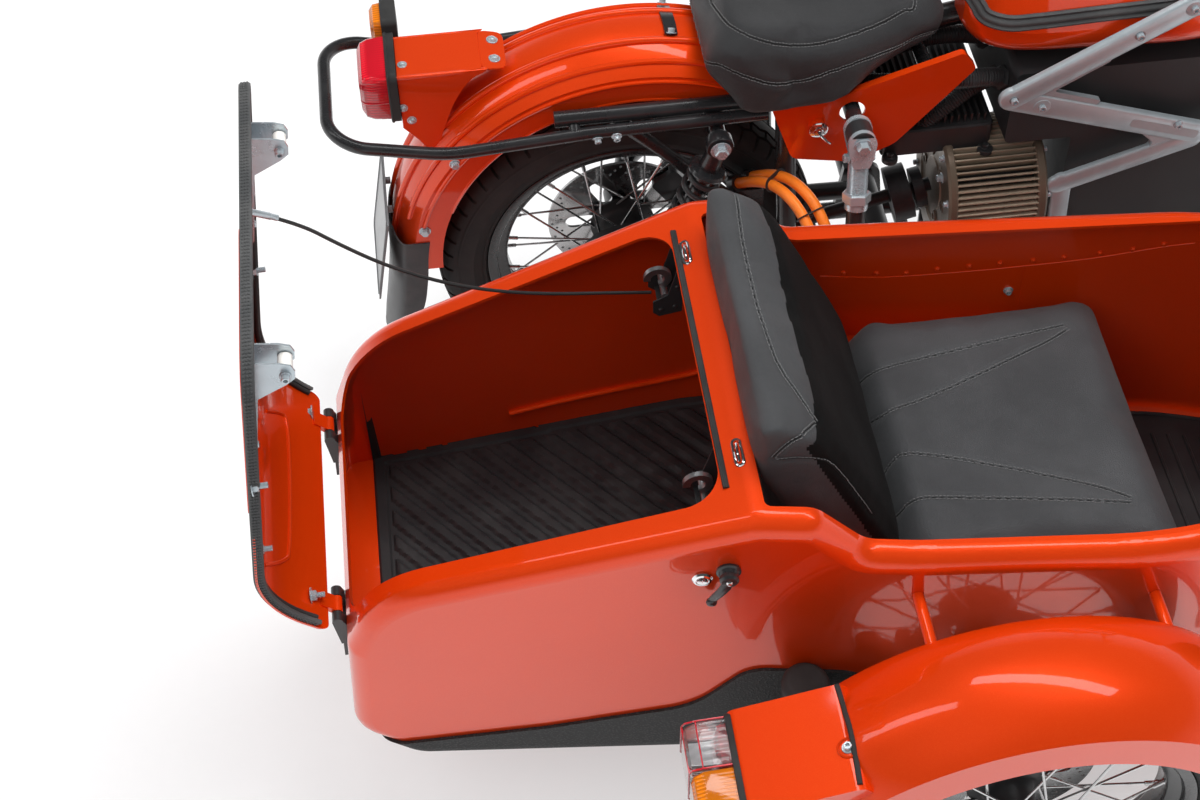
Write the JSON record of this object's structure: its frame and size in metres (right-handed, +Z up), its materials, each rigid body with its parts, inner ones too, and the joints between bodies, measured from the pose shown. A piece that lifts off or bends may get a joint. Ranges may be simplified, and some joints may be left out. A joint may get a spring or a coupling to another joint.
{
  "type": "sidecar motorcycle",
  "caption": "Electric sidecar motorcycle with wire wheels, leading-link fork, open trunk lid and padded bench in an open sidecar body",
  "frame": {"origin": "on the ground under the middle of the whole vehicle", "axes": "+X forward along the vehicle, +Y to the rider's left, +Z up"},
  "size_m": [2.4671, 1.6474, 1.2688],
  "materials": {
    "orange_paint": "gloss metallic",
    "black_paint": "satin",
    "tyre_rubber": "matte",
    "wheel_alloy": "satin",
    "black_rubber": "matte",
    "black_vinyl": "grained",
    "bronze_casting": "anodised bronze",
    "dark_casting": "painted casting",
    "plate_alloy": "brushed",
    "pack_case": "matte",
    "guard_coating": "textured",
    "red_lens": "clear moulded",
    "amber_lens": "clear moulded",
    "clear_lens": "clear",
    "control_plastic": "moulded",
    "cable_orange": "extruded",
    "stay_cord": "coated",
    "zinc_steel": "zinc plated",
    "plate_grey": "satin"
  },
  "bodies": {
    "chassis": {"tank": "orange_paint", "side_covers": "orange_paint", "rear_fender": "orange_paint", "lamp_bracket": "orange_paint", "sidecar_body": "orange_paint", "sidecar_fender": "orange_paint", "bike_frame": "black_paint", "swingarm": "black_paint", "sidecar_frame": "black_paint", "sidecar_arm": "black_paint", "grab_rail": "black_paint", "lid_hinges": "black_paint", "rear_shocks": "black_paint", "sidecar_shock": "black_paint", "brake_calipers": "black_paint", "tower_boot": "black_rubber", "mud_flap": "black_rubber", "knee_pads": "black_rubber", "trunk_seal": "black_rubber", "trunk_mat": "black_rubber", "cable_glands": "black_rubber", "tail_lamp_base": "black_rubber", "saddle": "black_vinyl", "back_cushion": "black_vinyl", "seat_cushion": "black_vinyl", "motor": "bronze_casting", "final_drive": "dark_casting", "battery_frames": "plate_alloy", "battery_pack": "pack_case", "sidecar_guard": "guard_coating", "tail_lamp": "red_lens", "rear_indicator": "amber_lens", "sidecar_lamp": "amber_lens", "power_cable_front": "cable_orange", "power_cable_rear": "cable_orange", "lid_stay": "stay_cord", "trunk_hardware": "zinc_steel", "number_plate": "plate_grey"},
    "steering": {"fork": "black_paint", "leading_links": "black_paint", "front_shocks": "black_paint", "front_fender": "orange_paint", "handlebar": "black_paint", "bar_controls": "control_plastic", "headlamp": "black_paint", "headlamp_lens": "clear_lens", "dial": "control_plastic", "mirrors": "black_paint", "front_caliper": "black_paint"},
    "front_wheel": {"front_wheel": "wheel_alloy", "front_tyre": "tyre_rubber"},
    "rear_wheel": {"rear_wheel": "wheel_alloy", "rear_tyre": "tyre_rubber"},
    "sidecar_wheel": {"sidecar_wheel": "wheel_alloy", "sidecar_tyre": "tyre_rubber"},
    "trunk_lid": {"trunk_lid": "orange_paint", "lid_seal": "black_rubber", "lid_strikers": "zinc_steel"}
  },
  "joints": [
    {"name": "steering", "type": "hinge", "parent": "chassis", "child": "steering", "pos_m": [0.4958, 0.414, 0.8197], "axis": [-0.454, 0, 0.891], "range_deg": [-33, 33]},
    {"name": "front_wheel_spin", "type": "hinge", "parent": "steering", "child": "front_wheel", "pos_m": [0.8635, 0.414, 0.325], "axis": [0, 1, 0], "continuous": true},
    {"name": "rear_wheel_spin", "type": "hinge", "parent": "chassis", "child": "rear_wheel", "pos_m": [-0.6365, 0.414, 0.325], "axis": [0, 1, 0], "continuous": true},
    {"name": "sidecar_wheel_spin", "type": "hinge", "parent": "chassis", "child": "sidecar_wheel", "pos_m": [-0.2555, -0.726, 0.325], "axis": [0, 1, 0], "continuous": true},
    {"name": "trunk_lid_hinge", "type": "hinge", "parent": "chassis", "child": "trunk_lid", "pos_m": [-1.1395, -0.243, 0.513], "axis": [0, 1, 0], "range_deg": [0, 65], "deforming": ["lid_stay"]}
  ]
}
